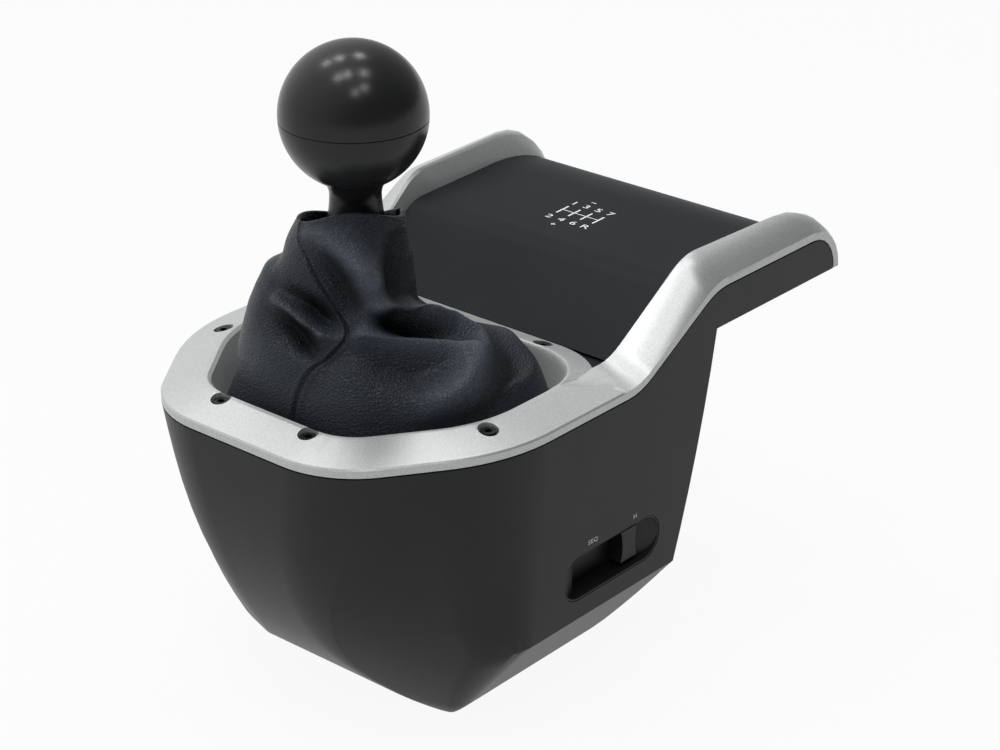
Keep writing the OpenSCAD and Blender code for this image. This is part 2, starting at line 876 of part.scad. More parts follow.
function turn_between(a, b) = abs((a - b + 900) % 360 - 180);
function soft(t) = t * t * (3 - 2 * t);
function at_level(list, v) =
    let (i = max(0, min(len(list) - 2, floor(v)))) mix(list[i], list[i + 1], v - i);
function share(a, v, k) =
    let (w = [for (p = profiles) soft(max(0, 1 - turn_between(a, p[0]) / 90))])
    w * [for (p = profiles) at_level(p[k], v)];
function reach(loop, a) =
    let (d = [cos(a), sin(a)], n = len(loop))
    min([for (i = [0:n - 1])
        let (e = loop[(i + 1) % n] - loop[i], s = cross(d, e), t = s == 0 ? far : cross(loop[i], e) / s)
        t > 0 ? t : far]);
function mouth_r(a) = boot_mouth - 2.3 * sin(a);
function mouth_z(a) = boot_top + 6 * cos(a) + sin(a);

// Distance in millimetres, near enough, from an angle and level to the line of a fold
function fold_distance(a, v, f) =
    let (
        scale = [0.6, 9.5],
        turn = (a - f[0][0] + 540) % 360 - 180,
        p = [turn * scale[0], (v - f[0][1]) * scale[1]],
        e = [(f[1][0] - f[0][0]) * scale[0], (f[1][1] - f[0][1]) * scale[1]]
    )
    norm(p - e * max(0, min(1, p * e / (e * e))));
function fold_height(a, v) =
    fold_depth * min(1, v / 0.8) * min(1, (8 - v) / 1.2)
    * ([for (f = folds) f[2] * exp(-pow(fold_distance(a, v, f) / f[3], 2))] * [for (f = folds) 1]);

// A point of the boot's profile, out from the lever's axis and up
function boot_profile(a, v, seat) =
    [mix(mouth_r(a), seat, share(a, v, 1)), mix(boot_seat, mouth_z(a), share(a, v, 2))];
function boot_ring(v, depth) =
    let (loop = ring(boot_in), n = boot_columns)
    [for (j = [0:n - 1])
        let (
            a = -360 * j / n,
            seat = reach(loop, a + facing),
            run = boot_profile(a, min(8, v + 0.4), seat) - boot_profile(a, max(0, v - 0.4), seat),
            out = [-run[1], run[0]] / norm(run),
            p = boot_profile(a, v, seat) + (fold_height(a, v) - depth) * (v < 8 ? out : [1, 0])
        )
        [p[0] * cos(a + facing), p[0] * sin(a + facing), p[1]]];
function seat_ring(e, z) =
    let (loop = ring(e), n = boot_columns)
    [for (j = [0:n - 1])
        let (a = facing - 360 * j / n)
        reach(loop, a) * [cos(a), sin(a), 0] + [0, 0, z]];

module shift_boot() {
    levels = [8, 7.5, 6.9, 6.3, 5.7, 5.2, 4.7, 4.1, 3.5, 2.8, 2.1, 1.4, 0.7, 0];
    color("#1f2126")
        loop_band(concat(
            [seat_ring(-1, boot_seat - leather), seat_ring(-1, boot_seat)],
            [for (v = levels) boot_ring(v, 0)],
            [for (v = reversed(levels)) boot_ring(v, leather)],
            [seat_ring(boot_in - leather, boot_seat - leather)]));
}

module boot_retainer() {
    color("#2a2a2c")
        translate([0, 0, boot_seat - leather - retainer_t])
            linear_extrude(height = retainer_t)
                difference() {
                    polygon(ring(-1));
                    polygon(ring(boot_in - leather));
                }
}

// Mode switch

// The recess seen from above: a pocket for the slider between two sloped ends
module recess_plan() {
    half = pocket_length / 2;
    reach = (tray_length - pocket_length) / 2 * (1 + 1 / end_depth);
    polygon([
        [half_width + 1, tray_y - half - reach], [half_width + 1, tray_y + half + reach],
        [half_width - end_depth, tray_y + half], [tray_floor, tray_y + half],
        [tray_floor, tray_y - half], [half_width - end_depth, tray_y - half]]);
}

module switch_tray() {
    color("#232325")
        difference() {
            union() {
                switch_prism(tray_length - 2 * fit_gap, tray_height - 2 * fit_gap, fit_gap,
                             tray_depth + tray_wall - fit_gap);
                switch_prism(tray_length + 6, tray_height + 6, wall, tray_wall);
            }
            intersection() {
                switch_prism(tray_length - 2 * tray_lip, tray_height - 2 * tray_lip, -2, tray_depth + 3);
                translate([0, 0, tray_z - tray_height])
                    linear_extrude(height = 2 * tray_height)
                        recess_plan();
            }
            translate([tray_back - 1, cap_y - slider_travel - neck_y / 2 - move_gap,
                       tray_z + neck_up - neck_z / 2 - move_gap])
                cube([tray_wall + 2, slider_travel + neck_y + 2 * move_gap, neck_z + 2 * move_gap]);
        }
}

module mode_sensor() {
    color("#1f4a35") {
        translate([sensor_face - board_t, tray_y - tray_length / 2, tray_z - carriage_z / 2])
            cube([board_t, tray_length, carriage_z]);
        for (side = [-1, 1])
            translate([sensor_face, tray_y + side * (tray_length / 2 - spacer_d / 2), tray_z])
                rotate([0, 90, 0])
                    cylinder(d = spacer_d, h = tray_back - sensor_face);
    }
}

module mode_slider_cap() {
    depth = tray_depth - move_gap - cap_set;
    color("#2e2e31")
        translate([tray_floor + move_gap, cap_y, tray_z])
            difference() {
                translate([0, -cap_length / 2, -cap_height / 2])
                    cube([depth, cap_length, cap_height]);
                for (side = [-1, 1])
                    translate([-1, side * (cap_length / 2 + waist_r - waist_depth), 0])
                        rotate([0, 90, 0])
                            cylinder(r = waist_r, h = depth + 2);
            }
}

module mode_carriage() {
    color("#3a3a3d") {
        translate([tray_back - move_gap - carriage_t, cap_y - carriage_y / 2, tray_z - carriage_z / 2])
            cube([carriage_t, carriage_y, carriage_z]);
        translate([tray_back - move_gap - 1, cap_y - neck_y / 2, tray_z + neck_up - neck_z / 2])
            cube([tray_wall + 2 * move_gap + 1, neck_y, neck_z]);
    }
}

module mode_magnet() {
    color("#8d9093")
        translate([tray_back - move_gap - carriage_t - magnet_t, cap_y, tray_z])
            rotate([0, 90, 0])
                cylinder(d = magnet_d, h = magnet_t);
}

// Frame

module at_posts() {
    both_sides()
        for (y = [post_front, post_rear])
            translate([post_x, y, 0])
                children();
}

module frame_posts() {
    color("#9da0a3")
        at_posts() {
            translate([0, 0, 1])
                cylinder(d = post_spigot, h = deck_height + deck_t + nut_t - 1);
            translate([0, 0, plate_t])
                cylinder(d = post_foot, h = gate_height - plate_t);
        }
}

module spacer_tubes() {
    color("#b9bcbe")
        at_posts()
            translate([0, 0, gate_height + gate_t])
                difference() {
                    cylinder(d = post_diameter, h = deck_height - gate_height - gate_t);
                    translate([0, 0, -1])
                        cylinder(d = post_spigot, h = deck_height);
                }
}

module frame_nuts() {
    color("#c2c5c7")
        at_posts()
            translate([0, 0, deck_height + deck_t])
                difference() {
                    cylinder(d = nut_d, h = nut_t, $fn = 6);
                    translate([0, 0, -1])
                        cylinder(d = post_spigot, h = nut_t + 2);
                }
}

// The gate's slots follow the lever's pin: a cross slot and one slot per column
module gate_slots() {
    width = gate_pin_d + 2 * slot_gap;
    throw = gate_depth * tan(throw_angle);
    for (i = columns)
        translate([-gate_depth * tan(i * column_angle), 0])
            rotate(90)
                stadium(2 * throw + width, width);
    left = -gate_depth * tan(column_angle * columns[3]);
    right = -gate_depth * tan(column_angle * columns[0]);
    translate([(left + right) / 2, 0])
        stadium(right - left + width, width);
}

module gate_plate() {
    color("#7d8083")
        translate([0, 0, gate_height])
            difference() {
                linear_extrude(height = gate_t)
                    difference() {
                        translate([-post_x - 7, bracket_front])
                            square([2 * post_x + 14, bracket_rear - bracket_front]);
                        gate_slots();
                    }
                at_posts()
                    translate([0, 0, -1])
                        cylinder(d = post_spigot, h = gate_t + 2);
            }
}

module x_cylinder(d, from, to) {
    translate([from, 0, pivot_height])
        rotate([0, 90, 0])
            cylinder(d = d, h = to - from);
}

module y_cylinder(d, from, to) {
    translate([0, to, pivot_height])
        rotate([90, 0, 0])
            cylinder(d = d, h = to - from);
}

module at_board_screws() {
    for (x = [-1, 1], z = [-1, 1])
        translate([x * board_step_x, bracket_rear,
                   deck_height + (tab_height + deck_t) / 2 + z * board_step_z])
            rotate([-90, 0, 0])
                children();
}

module gimbal_bracket() {
    color("#6e7174")
        difference() {
            union() {
                translate([-cheek_out, bracket_front, deck_height])
                    cube([2 * cheek_out, bracket_rear - bracket_front, deck_t]);
                both_sides()
                    hull() {
                        x_cylinder(cheek_d, cheek_in, cheek_out);
                        translate([cheek_in, -cheek_foot, deck_height])
                            cube([cheek, 2 * cheek_foot, deck_t]);
                    }
                translate([-tab_half, bracket_rear - tab_t, deck_height])
                    cube([2 * tab_half, tab_t, tab_height + deck_t]);
                at_board_screws()
                    cylinder(d = spacer_d + 1, h = board_gap);
            }
            translate([-window_half, -window_y, deck_height - 1])
                cube([2 * window_half, 2 * window_y, deck_t + 2]);
            translate([plunger_x, 0, deck_height - 1])
                cylinder(d = plunger_d + 2 * run_gap, h = deck_t + 2);
            x_cylinder(bush_d, -far, far);
            at_posts()
                translate([0, 0, deck_height - 1])
                    cylinder(d = post_spigot, h = deck_t + 2);
            at_board_screws()
                translate([0, 0, -far / 2])
                    cylinder(d = screw_d, h = far);
        }
}

module pivot_bushings() {
    color("#c9a24d")
        both_sides()
            difference() {
                union() {
                    x_cylinder(bush_d, cheek_in, cheek_out);
                    x_cylinder(bush_d + 4, cheek_in - 1.5, cheek_in);
                }
                x_cylinder(pin_diameter + 2 * run_gap, 0, far);
            }
}

module detent_plunger() {
    tip = pivot_height - sector_r - detent_gap;
    color("#b4b7ba")
        translate([plunger_x, 0, 0]) {
            translate([0, 0, deck_height])
                cylinder(d = plunger_d, h = tip - plunger_tip * 0.6 - deck_height);
            translate([0, 0, tip - plunger_tip])
                sphere(r = plunger_tip);
        }
}

module fore_aft_sensor() {
    face = cheek_out + pin_over + magnet_t + sensor_gap;
    color("#1f4a35") {
        translate([-face - board_t, -sensor_width / 2, pivot_height - sensor_height / 2])
            cube([board_t, sensor_width, sensor_height]);
        for (y = [-sensor_step, sensor_step])
            translate([0, y, 0])
                x_cylinder(spacer_d, -face, -cheek_out);
    }
}

module main_board() {
    color("#1f4a35")
        difference() {
            translate([-board_half, bracket_rear + board_gap, deck_height])
                cube([2 * board_half, board_t, tab_height + deck_t + board_over]);
            at_board_screws()
                cylinder(d = screw_d, h = 2 * board_gap);
        }
}

module board_screws() {
    color("#c2c5c7")
        at_board_screws()
            translate([0, 0, board_gap + board_t])
                socket_screw(board_gap + board_t + tab_t);
}

// Yoke

module gimbal_yoke() {
    bottom = pivot_height - yoke_height / 2;
    sector_x = -yoke_half_x;
    color("#84888b")
        difference() {
            union() {
                translate([-yoke_half_x, -yoke_half_y, bottom])
                    cube([2 * yoke_half_x, 2 * yoke_half_y, yoke_height]);
                intersection() {
                    x_cylinder(2 * sector_r, sector_x, sector_x + sector_t);
                    translate([sector_x - 1, -9, 0])
                        cube([sector_t + 2, 18, pivot_height - 1]);
                }
            }
            translate([-window_half, -yoke_half_y + yoke_bar, bottom - 1])
                cube([2 * window_half, 2 * (yoke_half_y - yoke_bar), yoke_height + 2]);
            x_cylinder(pin_diameter, -far, far);
            y_cylinder(bush_d, -far, far);
            for (side = [-1, 0, 1])
                translate([0, 0, pivot_height])
                    rotate([side * throw_angle, 0, 0])
                        translate([0, 0, -sector_r])
                            rotate([0, 90, 0])
                                cylinder(r = notch_r, h = 3 * yoke_half_x, center = true);
        }
}

module yoke_pins() {
    color("#cfd2d4")
        both_sides()
            x_cylinder(pin_diameter, window_half + 1, cheek_out + pin_over);
}

module fore_aft_magnet() {
    color("#8d9093")
        x_cylinder(magnet_d, -cheek_out - pin_over - magnet_t, -cheek_out - pin_over);
}

module lever_bushings() {
    color("#c9a24d")
        difference() {
            union() {
                y_cylinder(bush_d, -yoke_half_y, -yoke_half_y + yoke_bar);
                y_cylinder(bush_d, yoke_half_y - yoke_bar, yoke_half_y + spring_length + 2);
            }
            y_cylinder(pin_diameter + 2 * run_gap, -far, far);
        }
}

module left_right_sensor() {
    face = yoke_half_y + pin_over + magnet_t + sensor_gap;
    color("#1f4a35") {
        translate([-sensor_width / 2, -face - board_t, pivot_height - sensor_height / 2])
            cube([sensor_width, board_t, sensor_height]);
        for (x = [-sensor_step, sensor_step])
            translate([x, 0, 0])
                y_cylinder(spacer_d, -face, -yoke_half_y);
    }
}

function coil_ring(i) =
    let (a = 360 * i / 16, y = yoke_half_y + wire / 2 + 0.1 + coil_pitch * i / 16)
    [for (j = [0:5])
        let (r = coil_r + wire / 2 * cos(60 * j))
        [r * cos(a), y + wire / 2 * sin(60 * j), pivot_height + r * sin(a)]];

module centring_spring() {
    color("#b9bcbe")
        loft([for (i = [0:16 * spring_turns]) coil_ring(i)]);
}

// Lever and knob

module shift_lever() {
    neck = knob_height - neck_length;
    color("#a2a5a8")
        difference() {
            union() {
                y_cylinder(hub_d, -hub_half, hub_half);
                translate([0, 0, pivot_height])
                    cylinder(d = shaft_diameter, h = neck - pivot_height);
                translate([0, 0, neck - thread_lap])
                    cylinder(d = thread_diameter, h = neck_length - thread_room);
                translate([0, 0, pivot_height - tail_length])
                    cylinder(d = tail_d, h = tail_length);
            }
            y_cylinder(pin_diameter, -far, far);
            translate([0, 0, pivot_height - tail_length - 1])
                cylinder(d = gate_pin_d, h = tail_length / 2);
        }
}

module lever_pin() {
    color("#cfd2d4")
        y_cylinder(pin_diameter, -yoke_half_y - pin_over, yoke_half_y + pin_over);
}

module gate_pin() {
    color("#d4d7d9")
        translate([0, 0, gate_height - 2])
            cylinder(d = gate_pin_d, h = pivot_height - tail_length / 2 - 2 - gate_height);
}

module left_right_magnet() {
    color("#8d9093")
        y_cylinder(magnet_d, -yoke_half_y - pin_over - magnet_t, -yoke_half_y - pin_over);
}

module knob_insert() {
    color("#b08d4a")
        translate([0, 0, knob_height - neck_length])
            difference() {
                cylinder(d = insert_d, h = neck_length - 6);
                translate([0, 0, -1])
                    cylinder(d = thread_diameter, h = neck_length);
            }
}

// Outline of the ball from its lower end to its top, with a hollow inside
module ball_profile(from, to) {
    polygon(concat(
        arc([0, knob_height], knob_radius, from, to, 24),
        reversed(arc([0, knob_height], knob_radius - knob_wall, from, to, 24))));
}

module knob_upper_shell() {
    seam_angle = -asin(seam_drop / knob_radius);
    color("#19191b")
        rotate_extrude()
            ball_profile(seam_angle, 90);
}

module knob_lower_shell() {
    seam_angle = -asin((seam_drop + 0.15) / knob_radius);
    throat = -acos(throat_r / knob_radius);
    base = knob_height - neck_length;
    top = knob_height + knob_radius * sin(throat);
    color("#19191b")
        rotate_extrude()
            polygon(concat(
                arc([0, knob_height], knob_radius, seam_angle, throat, 18),
                [for (i = [1:8])
                    let (t = i / 8)
                    [mix(throat_r, neck_diameter / 2, sin(90 * min(1, 2.6 * t)))
                     + (neck_foot - neck_diameter) / 2 * pow(t, 3), mix(top, base, t)]],
                [[insert_d / 2, base], [insert_d / 2, knob_height - 6]],
                [[knob_radius / 2, knob_height - 6]],
                arc([0, knob_height], knob_radius - knob_wall, -30, seam_angle, 8)));
}

module boot_collar() {
    color("#151516")
        translate([0, 0, knob_height - neck_length - collar_gap - collar_t])
            difference() {
                cylinder(r = collar_r, h = collar_t);
                translate([0, 0, -1])
                    cylinder(d = shaft_diameter, h = collar_t + 2);
            }
}

main_housing();
base_plate();
base_screws();
base_pads();
bezel_trim();
bezel_screws();
hood_cover();
hood_screws();
boot_retainer();
shift_boot();
switch_tray();
mode_sensor();
gimbal_bracket();
pivot_bushings();
gate_plate();
frame_posts();
spacer_tubes();
frame_nuts();
detent_plunger();
fore_aft_sensor();
main_board();
board_screws();
cord_socket();
clamp_inserts();
gimbal_yoke();
yoke_pins();
fore_aft_magnet();
lever_bushings();
left_right_sensor();
centring_spring();
shift_lever();
lever_pin();
gate_pin();
knob_insert();
knob_lower_shell();
knob_upper_shell();
boot_collar();
left_right_magnet();
mode_slider_cap();
mode_carriage();
mode_magnet();
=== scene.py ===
import json
import math

import bpy
import numpy as np
from mathutils import Matrix, Vector


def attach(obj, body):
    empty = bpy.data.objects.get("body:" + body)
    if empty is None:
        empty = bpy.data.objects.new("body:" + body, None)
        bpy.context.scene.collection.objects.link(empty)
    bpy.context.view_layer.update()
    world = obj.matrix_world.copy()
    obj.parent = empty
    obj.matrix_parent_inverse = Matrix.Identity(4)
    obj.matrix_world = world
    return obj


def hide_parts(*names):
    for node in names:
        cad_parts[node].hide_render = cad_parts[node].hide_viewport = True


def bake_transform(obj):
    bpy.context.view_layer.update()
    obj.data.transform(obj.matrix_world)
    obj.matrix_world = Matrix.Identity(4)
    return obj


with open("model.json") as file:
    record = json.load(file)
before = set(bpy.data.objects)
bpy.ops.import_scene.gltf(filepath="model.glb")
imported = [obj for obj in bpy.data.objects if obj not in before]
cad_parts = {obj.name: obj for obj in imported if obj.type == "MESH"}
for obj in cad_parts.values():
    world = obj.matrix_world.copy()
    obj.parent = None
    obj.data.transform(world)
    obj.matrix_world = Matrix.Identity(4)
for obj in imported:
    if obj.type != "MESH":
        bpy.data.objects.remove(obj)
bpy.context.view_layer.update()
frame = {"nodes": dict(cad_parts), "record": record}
nodes = frame["nodes"]
scene = bpy.context.scene


# Node helpers

def new_material(name):
    """A material with a Principled shader, and its nodes, links and shader."""
    material = bpy.data.materials.new(name)
    material.use_nodes = True
    tree = material.node_tree
    return material, tree, tree.nodes["Principled BSDF"]


def node(tree, kind, inputs=None, **settings):
    """A shader node with its settings and its fixed inputs."""
    made = tree.nodes.new(kind)
    for key, value in settings.items():
        setattr(made, key, value)
    for key, value in (inputs or {}).items():
        made.inputs[key].default_value = value
    return made


def position(tree, scale=1.0):
    """The surface's own place in the row frame, times a scale."""
    coords = node(tree, "ShaderNodeTexCoord")
    mapping = node(tree, "ShaderNodeMapping", {"Scale": (scale, scale, scale)})
    tree.links.new(coords.outputs["Object"], mapping.inputs["Vector"])
    return mapping.outputs["Vector"]


def noise(tree, vector, scale, detail=3.0, roughness=0.5):
    made = node(tree, "ShaderNodeTexNoise", {"Scale": scale, "Detail": detail, "Roughness": roughness})
    tree.links.new(vector, made.inputs["Vector"])
    return made.outputs["Fac"]


def ramp(tree, factor, stops):
    """A colour ramp through (position, colour) stops."""
    made = node(tree, "ShaderNodeValToRGB")
    ends = made.color_ramp.elements
    while len(ends) < len(stops):
        ends.new(0.5)
    for end, (place, colour) in zip(ends, stops):
        end.position = place
        end.color = (*colour, 1.0)
    tree.links.new(factor, made.inputs["Fac"])
    return made.outputs["Color"]


def spread(tree, factor, low, high):
    """Maps a 0 to 1 factor to a range."""
    made = node(tree, "ShaderNodeMapRange", {"To Min": low, "To Max": high})
    tree.links.new(factor, made.inputs["Value"])
    return made.outputs["Result"]


def bump(tree, shader, height, strength, distance):
    made = node(tree, "ShaderNodeBump", {"Strength": strength, "Distance": distance})
    tree.links.new(height, made.inputs["Height"])
    tree.links.new(made.outputs["Normal"], shader.inputs["Normal"])


# Materials

def moulded_plastic(name, colour, rough, grain, depth, gloss=0.2, variation=0.12):
    """Black moulded plastic: spark-eroded grain, slight change of tone and gloss."""
    material, tree, shader = new_material(name)
    shader.inputs["Specular IOR Level"].default_value = gloss
    place = position(tree)
    broad = noise(tree, place, 28.0, 2.0)
    fine = noise(tree, place, grain, 2.0, 0.6)
    low = tuple(c * (1 - variation) for c in colour)
    high = tuple(c * (1 + variation) for c in colour)
    tree.links.new(ramp(tree, broad, [(0.3, low), (0.7, high)]), shader.inputs["Base Color"])
    tree.links.new(spread(tree, fine, rough - 0.05, rough + 0.05), shader.inputs["Roughness"])
    bump(tree, shader, fine, 0.35, depth)
    return material


def satin_paint(name, colour, rough, grain, depth):
    """Silver paint over a moulding: half metallic, with a fine sparkle in tone, gloss and height."""
    material, tree, shader = new_material(name)
    shader.inputs["Metallic"].default_value = 0.5
    place = position(tree)
    fine = noise(tree, place, grain, 2.0, 0.7)
    low = tuple(c * 0.9 for c in colour)
    high = tuple(min(1.0, c * 1.08) for c in colour)
    tree.links.new(ramp(tree, fine, [(0.35, low), (0.65, high)]), shader.inputs["Base Color"])
    tree.links.new(spread(tree, fine, rough - 0.06, rough + 0.06), shader.inputs["Roughness"])
    bump(tree, shader, fine, 0.25, depth)
    return material


def plain_finish(name, colour, rough, metallic=0.0):
    """Small inner pieces: an even finish with a little change of gloss."""
    material, tree, shader = new_material(name)
    shader.inputs["Base Color"].default_value = (*colour, 1.0)
    shader.inputs["Metallic"].default_value = metallic
    place = position(tree)
    tree.links.new(spread(tree, noise(tree, place, 180.0), rough - 0.08, rough + 0.08),
                   shader.inputs["Roughness"])
    return material


housing_black = moulded_plastic("housing_black", (0.022, 0.022, 0.0225), 0.42, 1400.0, 0.00006)
hood_black = moulded_plastic("hood_black", (0.0105, 0.0118, 0.0142), 0.46, 1100.0, 0.00012, 0.09)
knob_black = moulded_plastic("knob_black", (0.017, 0.0175, 0.0185), 0.25, 1700.0, 0.00006, 0.24)
switch_black = moulded_plastic("switch_black", (0.012, 0.012, 0.013), 0.45, 1600.0, 0.00005, 0.25)
silver = satin_paint("satin_silver", (0.5, 0.515, 0.51), 0.4, 1500.0, 0.00007)
screw_black = plain_finish("screw_black", (0.012, 0.012, 0.013), 0.35, 0.6)
steel = plain_finish("steel", (0.55, 0.56, 0.58), 0.3, 1.0)
black_steel = plain_finish("black_steel", (0.05, 0.05, 0.055), 0.4, 1.0)
zinc = plain_finish("cast_zinc", (0.3, 0.31, 0.32), 0.45, 0.8)
bronze = plain_finish("bronze", (0.6, 0.42, 0.18), 0.3, 1.0)
circuit = plain_finish("circuit_green", (0.012, 0.07, 0.035), 0.4)
rubber = plain_finish("rubber", (0.012, 0.012, 0.012), 0.8)
print_white = plain_finish("print_white", (0.8, 0.8, 0.8), 0.5)


# Leather colour from painted shade in the deepest valley through the plain surface's own tone to painted
# light on the highest ridge
FOLD_REACH = 6.0        # height of that ridge and depth of that valley, in mm
LEATHER_PAINTED_SHADE_TONES = [(0.0, (0.0015, 0.0018, 0.0023)), (0.5, (0.019, 0.022, 0.0275)), (1.0, (0.072, 0.083, 0.103))]


def leather_finish():
    """Black leather: pebbled cells of about a millimetre, a cool sheen, and painted light on the ridges of
    its folds and painted shade in their valleys.
    """
    material, tree, shader = new_material("black_leather")
    place = position(tree)
    warp = node(tree, "ShaderNodeTexNoise", {"Scale": 260.0, "Detail": 2.0})
    tree.links.new(place, warp.inputs["Vector"])
    shift = node(tree, "ShaderNodeVectorMath", {1: (0.0016, 0.0016, 0.0016)}, operation="MULTIPLY")
    tree.links.new(warp.outputs["Color"], shift.inputs[0])
    bent = node(tree, "ShaderNodeVectorMath", operation="ADD")
    tree.links.new(place, bent.inputs[0])
    tree.links.new(shift.outputs["Vector"], bent.inputs[1])
    cells = node(tree, "ShaderNodeTexVoronoi", {"Scale": 800.0}, feature="DISTANCE_TO_EDGE")
    tree.links.new(bent.outputs["Vector"], cells.inputs["Vector"])
    pebble = node(tree, "ShaderNodeMapRange", {"From Max": 0.32}, interpolation_type="SMOOTHSTEP")
    tree.links.new(cells.outputs["Distance"], pebble.inputs["Value"])
    fine = noise(tree, place, 2600.0, 2.0)
    fold = node(tree, "ShaderNodeAttribute", attribute_name="fold")
    fold_shade_and_gloss = node(tree, "ShaderNodeMapRange", {"From Min": -FOLD_REACH, "From Max": FOLD_REACH})
    tree.links.new(fold.outputs["Fac"], fold_shade_and_gloss.inputs["Value"])
    # Painted shade and light: the colour goes near black in the folds' valleys and lighter on their ridges,
    # by fold height
    tone = ramp(tree, fold_shade_and_gloss.outputs["Result"], LEATHER_PAINTED_SHADE_TONES)
    tree.links.new(tone, shader.inputs["Base Color"])
    tree.links.new(spread(tree, fold_shade_and_gloss.outputs["Result"], 0.5, 0.34), shader.inputs["Roughness"])
    shader.inputs["Specular IOR Level"].default_value = 0.22
    shader.inputs["Specular Tint"].default_value = (0.82, 0.9, 1.0, 1.0)
    height = node(tree, "ShaderNodeMath", {1: 0.12}, operation="MULTIPLY_ADD")
    tree.links.new(fine, height.inputs[0])
    tree.links.new(pebble.outputs["Result"], height.inputs[2])
    bump(tree, shader, height.outputs[0], 0.65, 0.0003)
    return material


leather = leather_finish()

finishes = {
    "black_plastic": housing_black, "knob_plastic": knob_black, "hood_plastic": hood_black,
    "silver_trim": silver, "black_screw": screw_black, "steel": steel, "zinc": zinc, "bronze": bronze,
    "circuit": circuit, "magnet": steel, "rubber": rubber, "leather": leather,
}


# CAD nodes: finish by slot, welded faces, soft edges and smooth shading

def smooth_group(limit):
    """Geometry nodes that shade faces smooth and keep edges over a limit in degrees sharp."""
    group = bpy.data.node_groups.new("smooth_faces", "GeometryNodeTree")
    group.interface.new_socket("Geometry", in_out="INPUT", socket_type="NodeSocketGeometry")
    group.interface.new_socket("Geometry", in_out="OUTPUT", socket_type="NodeSocketGeometry")
    start = group.nodes.new("NodeGroupInput")
    end = group.nodes.new("NodeGroupOutput")
    angle = group.nodes.new("GeometryNodeInputMeshEdgeAngle")
    sharp = group.nodes.new("FunctionNodeCompare")
    sharp.inputs[1].default_value = math.radians(limit)
    faces = group.nodes.new("GeometryNodeSetShadeSmooth")
    edges = group.nodes.new("GeometryNodeSetShadeSmooth")
    edges.domain = "EDGE"
    edges.inputs["Shade Smooth"].default_value = False
    link = group.links.new
    link(start.outputs[0], faces.inputs["Geometry"])
    link(faces.outputs[0], edges.inputs["Geometry"])
    link(angle.outputs["Unsigned Angle"], sharp.inputs[0])
    link(sharp.outputs[0], edges.inputs["Selection"])
    link(edges.outputs[0], end.inputs[0])
    return group


smooth_faces = smooth_group(28)


SOFT_EDGE = 0.0002      # bevel on moulded and turned edges, in metres


def dress(obj, material, edge):
    """A CAD node's material, edge softening and smooth faces."""
    obj.data.materials.clear()
    obj.data.materials.append(material)
    weld = obj.modifiers.new("weld", "WELD")
    weld.merge_threshold = 0.000002
    if edge:
        bevel = obj.modifiers.new("edges", "BEVEL")
        bevel.width = edge
        bevel.segments = 2
        bevel.limit_method = "ANGLE"
        bevel.angle_limit = math.radians(35)
    smooth = obj.modifiers.new("smooth", "NODES")
    smooth.node_group = smooth_faces
    weighted = obj.modifiers.new("normals", "WEIGHTED_NORMAL")
    weighted.keep_sharp = True


# Nodes whose finish differs from their slot's own
special = {"switch_tray": switch_black, "mode_slider_cap": switch_black, "mode_carriage": switch_black,
           "cord_socket": switch_black, "boot_collar": switch_black, "shift_lever": black_steel,
           "knob_insert": black_steel}
for part in frame["record"]["subparts"]:
    name = part["node"]
    finish = special.get(name, finishes[part["material_slot"]])
    dress(nodes[name], finish, 0.0 if name == "switch_tray" else SOFT_EDGE)


# Boot: a leather sleeve gathered under the knob that folds over a skirt clamped below the bezel

FACING = -49.4          # plan direction that boot angles are counted from, in degrees

# The bezel's plan, in mm and with the values of the part's source
HALF_WIDTH = 75.6
FRONT = 59.5            # from the lever's axis to the nose
FACE_WIDTH = 16.8       # from the outer edge to the edge of the opening
LEAN = 54.5             # of the slanted front sides, in degrees
SIDE_END = -10.0        # where the straight sides end
SIDE_RADIUS, NOSE_RADIUS = 66.0, 36.5
REAR_CORNER, REAR_RADIUS = (36.8, 31.8), 22.0
SEAT_INSET = 4.6        # of the boot where it goes below the bezel, from the edge of the opening
FLANGE_INSET = 1.2      # of the edge that the retainer clamps


def arc(cx, cy, radius, start, end, steps=24):
    turn = np.radians(np.linspace(start, end, steps))
    return np.column_stack([cx + radius * np.cos(turn), cy + radius * np.sin(turn)])


def opening_outline(inset):
    """Plan of the bezel's bowl, at a distance inwards from the edge of its opening, in mm."""
    edge, lean, turn = FACE_WIDTH + inset, math.radians(LEAN), 90 - LEAN
    half, front = HALF_WIDTH - edge, edge - FRONT
    meet = SIDE_END + edge * (1 - math.sin(lean)) / math.cos(lean)
    side, nose = SIDE_RADIUS - edge, NOSE_RADIUS - edge
    corner = half - (meet - front) / math.tan(lean)
    right_half = np.vstack([
        arc(*REAR_CORNER, REAR_RADIUS - inset, 90, 0),
        arc(half - side, meet + side * math.tan(math.radians(turn / 2)), side, 0, -turn),
        arc(corner - nose * math.tan(lean / 2), front + nose, nose, -turn, -90)])
    loop = np.vstack([right_half, right_half[::-1] * (-1, 1)])
    step = np.roll(loop, -1, axis=0) - loop
    return np.vstack([loop + step * part for part in np.linspace(0, 1, 12, endpoint=False)])


def outline_radius(inset, angle):
    """Radius of that plan at an angle in degrees from the facing direction."""
    points = opening_outline(inset)
    turn = np.degrees(np.arctan2(points[:, 1], points[:, 0])) - FACING
    return np.interp(angle, turn, np.hypot(points[:, 0], points[:, 1]), period=360)


